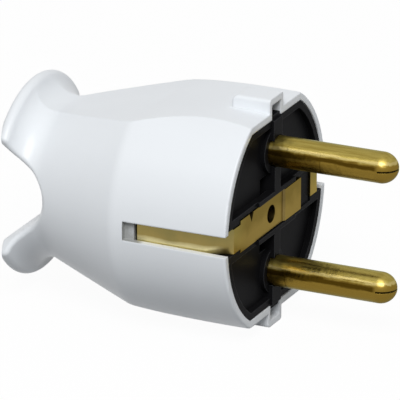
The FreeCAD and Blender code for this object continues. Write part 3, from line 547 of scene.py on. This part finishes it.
def rolled_brass():
    """Satin brass, with highlights drawn out along its rolling lines."""
    material, tree, place = new_material("rolled_brass_sheet")
    stretch = add(tree, "ShaderNodeMapping", {}, {
        "Vector": place, "Scale": (1.0, 1 / STRAP_LINES_STRETCH, 1.0)})
    lines = add(tree, "ShaderNodeTexNoise", {}, {
        "Vector": stretch.outputs[0], "Scale": 1 / STRAP_LINES_M, "Detail": RAGGED_DETAIL})
    bump = add(tree, "ShaderNodeBump", {}, {
        "Height": lines.outputs["Fac"], "Distance": STRAP_LINES_DEPTH_M,
        "Strength": STRAP_LINES_STRENGTH})
    shader = add(tree, "ShaderNodeBsdfPrincipled", {}, {
        "Base Color": strap_colour(tree, place), "Metallic": 1.0, "Roughness": STRAP_ROUGHNESS,
        "Specular Tint": paint(STRAP_TINT), "Normal": bump.outputs["Normal"]})
    add(tree, "ShaderNodeOutputMaterial", {}, {"Surface": shader.outputs[0]})
    return material


dress(["earth_strap"], rolled_brass())


# Screws, nuts and earth clamp plate
# Cold-headed steel with a bright zinc plating, a little cloudy as it comes
# from the barrel.
ZINC = "#b7babd"
ZINC_CLOUD_M = 0.002
ZINC_SMOOTHEST = 0.25
ZINC_DULLEST = 0.5


def zinc_plate():
    """Grey metal whose gloss comes and goes in small clouds."""
    material, tree, place = new_material("zinc_plated_steel")
    cloud = add(tree, "ShaderNodeTexNoise", {}, {
        "Vector": place, "Scale": 1 / ZINC_CLOUD_M, "Detail": RAGGED_DETAIL})
    gloss = add(tree, "ShaderNodeMapRange", {}, {
        "Value": cloud.outputs["Fac"], "To Min": ZINC_SMOOTHEST, "To Max": ZINC_DULLEST})
    shader = add(tree, "ShaderNodeBsdfPrincipled", {}, {
        "Base Color": paint(ZINC), "Metallic": 1.0, "Roughness": gloss.outputs[0]})
    add(tree, "ShaderNodeOutputMaterial", {}, {"Surface": shader.outputs[0]})
    return material


dress(["terminal_screws", "earth_screw", "earth_clamp_plate", "cord_clamp_screws",
       "cord_clamp_nuts"], zinc_plate())


# Floor
# A plain white table top that the plug lies on, and that keeps its soft shadow. The
# camera and reflections see it white, and it lights the plug from below as grey.
FLOOR_HALF_M = 3.0
FLOOR_WHITE = "#ffffff"
FLOOR_BOUNCE = "#8c8e90"
# The share that shows as plain white. The rest of it takes the shadow.
FLOOR_OWN_WHITE = 0.96


def white_board():
    """Matt board that shows as white, and lights the plug from below as grey."""
    material, tree, _ = new_material("white_board")
    path = add(tree, "ShaderNodeLightPath", {}, {})
    seen = add(tree, "ShaderNodeMath", {"operation": "MAXIMUM"}, {
        0: path.outputs["Is Camera Ray"], 1: path.outputs["Is Glossy Ray"]})
    seen = add(tree, "ShaderNodeMath", {"operation": "MAXIMUM"}, {
        0: seen.outputs[0], 1: path.outputs["Is Transmission Ray"]})
    own_white = add(tree, "ShaderNodeMath", {"operation": "MULTIPLY"}, {
        0: seen.outputs[0], 1: FLOOR_OWN_WHITE})
    colour = add(tree, "ShaderNodeMix", {"data_type": "RGBA"}, {
        MIX_SHARE: seen.outputs[0], MIX_UNDER: paint(FLOOR_BOUNCE), MIX_OVER: paint(FLOOR_WHITE)})
    matt = add(tree, "ShaderNodeBsdfDiffuse", {}, {"Color": colour.outputs[MIX_RESULT]})
    white = add(tree, "ShaderNodeEmission", {}, {"Color": paint(FLOOR_WHITE), "Strength": 1.0})
    both = add(tree, "ShaderNodeMixShader", {}, {
        0: own_white.outputs[0], 1: matt.outputs[0], 2: white.outputs[0]})
    add(tree, "ShaderNodeOutputMaterial", {}, {"Surface": both.outputs[0]})
    return material


floor_z = min(corner[2] for corner in cad_box)
floor_corners = [(-FLOOR_HALF_M, -FLOOR_HALF_M, floor_z), (FLOOR_HALF_M, -FLOOR_HALF_M, floor_z),
                 (FLOOR_HALF_M, FLOOR_HALF_M, floor_z), (-FLOOR_HALF_M, FLOOR_HALF_M, floor_z)]
floor_mesh = bpy.data.meshes.new("floor")
floor_mesh.from_pydata(floor_corners, [], [(0, 1, 2, 3)])
floor_mesh.materials.append(white_board())
floor = bpy.data.objects.new("floor", floor_mesh)
bpy.context.scene.collection.objects.link(floor)


# Lamps
# One broad soft lamp, high in front of the near side, and a small weak one further
# left that draws the bright line along the pins.
LAMPS_AIM = Vector((-0.01, 0.0, 0.0))
KEY_AT = Vector((0.27, -0.72, 0.79))
KEY_SIZE_M = 0.5
KEY_WATTS = 8.7
LINE_LAMP_AT = Vector((-0.43, -0.65, 0.76))
LINE_LAMP_SIZE_M = 0.2
LINE_LAMP_WATTS = 0.28


def soft_lamp(name, place, size, watts):
    """A square lamp aimed at the middle of the plug."""
    data = bpy.data.lights.new(name, "AREA")
    data.shape = "SQUARE"
    data.size = size
    data.energy = watts
    lamp = bpy.data.objects.new(name, data)
    lamp.location = place
    lamp.rotation_euler = (LAMPS_AIM - place).to_track_quat("-Z", "Y").to_euler()
    bpy.context.scene.collection.objects.link(lamp)


soft_lamp("key_lamp", KEY_AT, KEY_SIZE_M, KEY_WATTS)
soft_lamp("strip_lamp", LINE_LAMP_AT, LINE_LAMP_SIZE_M, LINE_LAMP_WATTS)


# Room
# An evenly pale room. It is white to the camera and in reflections, and lights the
# plug at a lower level.
ROOM = "#ffffff"
ROOM_LIGHT = 0.35
ROOM_SEEN = 1.0


def pale_room():
    """The room round the plug, with a lower level for the light that it gives."""
    world = bpy.data.worlds.new("pale_room")
    world.use_nodes = True
    world.node_tree.nodes.clear()
    tree = world.node_tree
    path = add(tree, "ShaderNodeLightPath", {}, {})
    seen = add(tree, "ShaderNodeMath", {"operation": "MAXIMUM"}, {
        0: path.outputs["Is Camera Ray"], 1: path.outputs["Is Transmission Ray"]})
    seen = add(tree, "ShaderNodeMath", {"operation": "MAXIMUM"}, {
        0: seen.outputs[0], 1: path.outputs["Is Glossy Ray"]})
    level = add(tree, "ShaderNodeMapRange", {}, {
        "Value": seen.outputs[0], "To Min": ROOM_LIGHT, "To Max": ROOM_SEEN})
    room = add(tree, "ShaderNodeBackground", {}, {"Color": paint(ROOM), "Strength": level.outputs[0]})
    add(tree, "ShaderNodeOutputWorld", {}, {"Surface": room.outputs[0]})
    return world


bpy.context.scene.world = pale_room()
bpy.context.scene.view_settings.view_transform = "Standard"
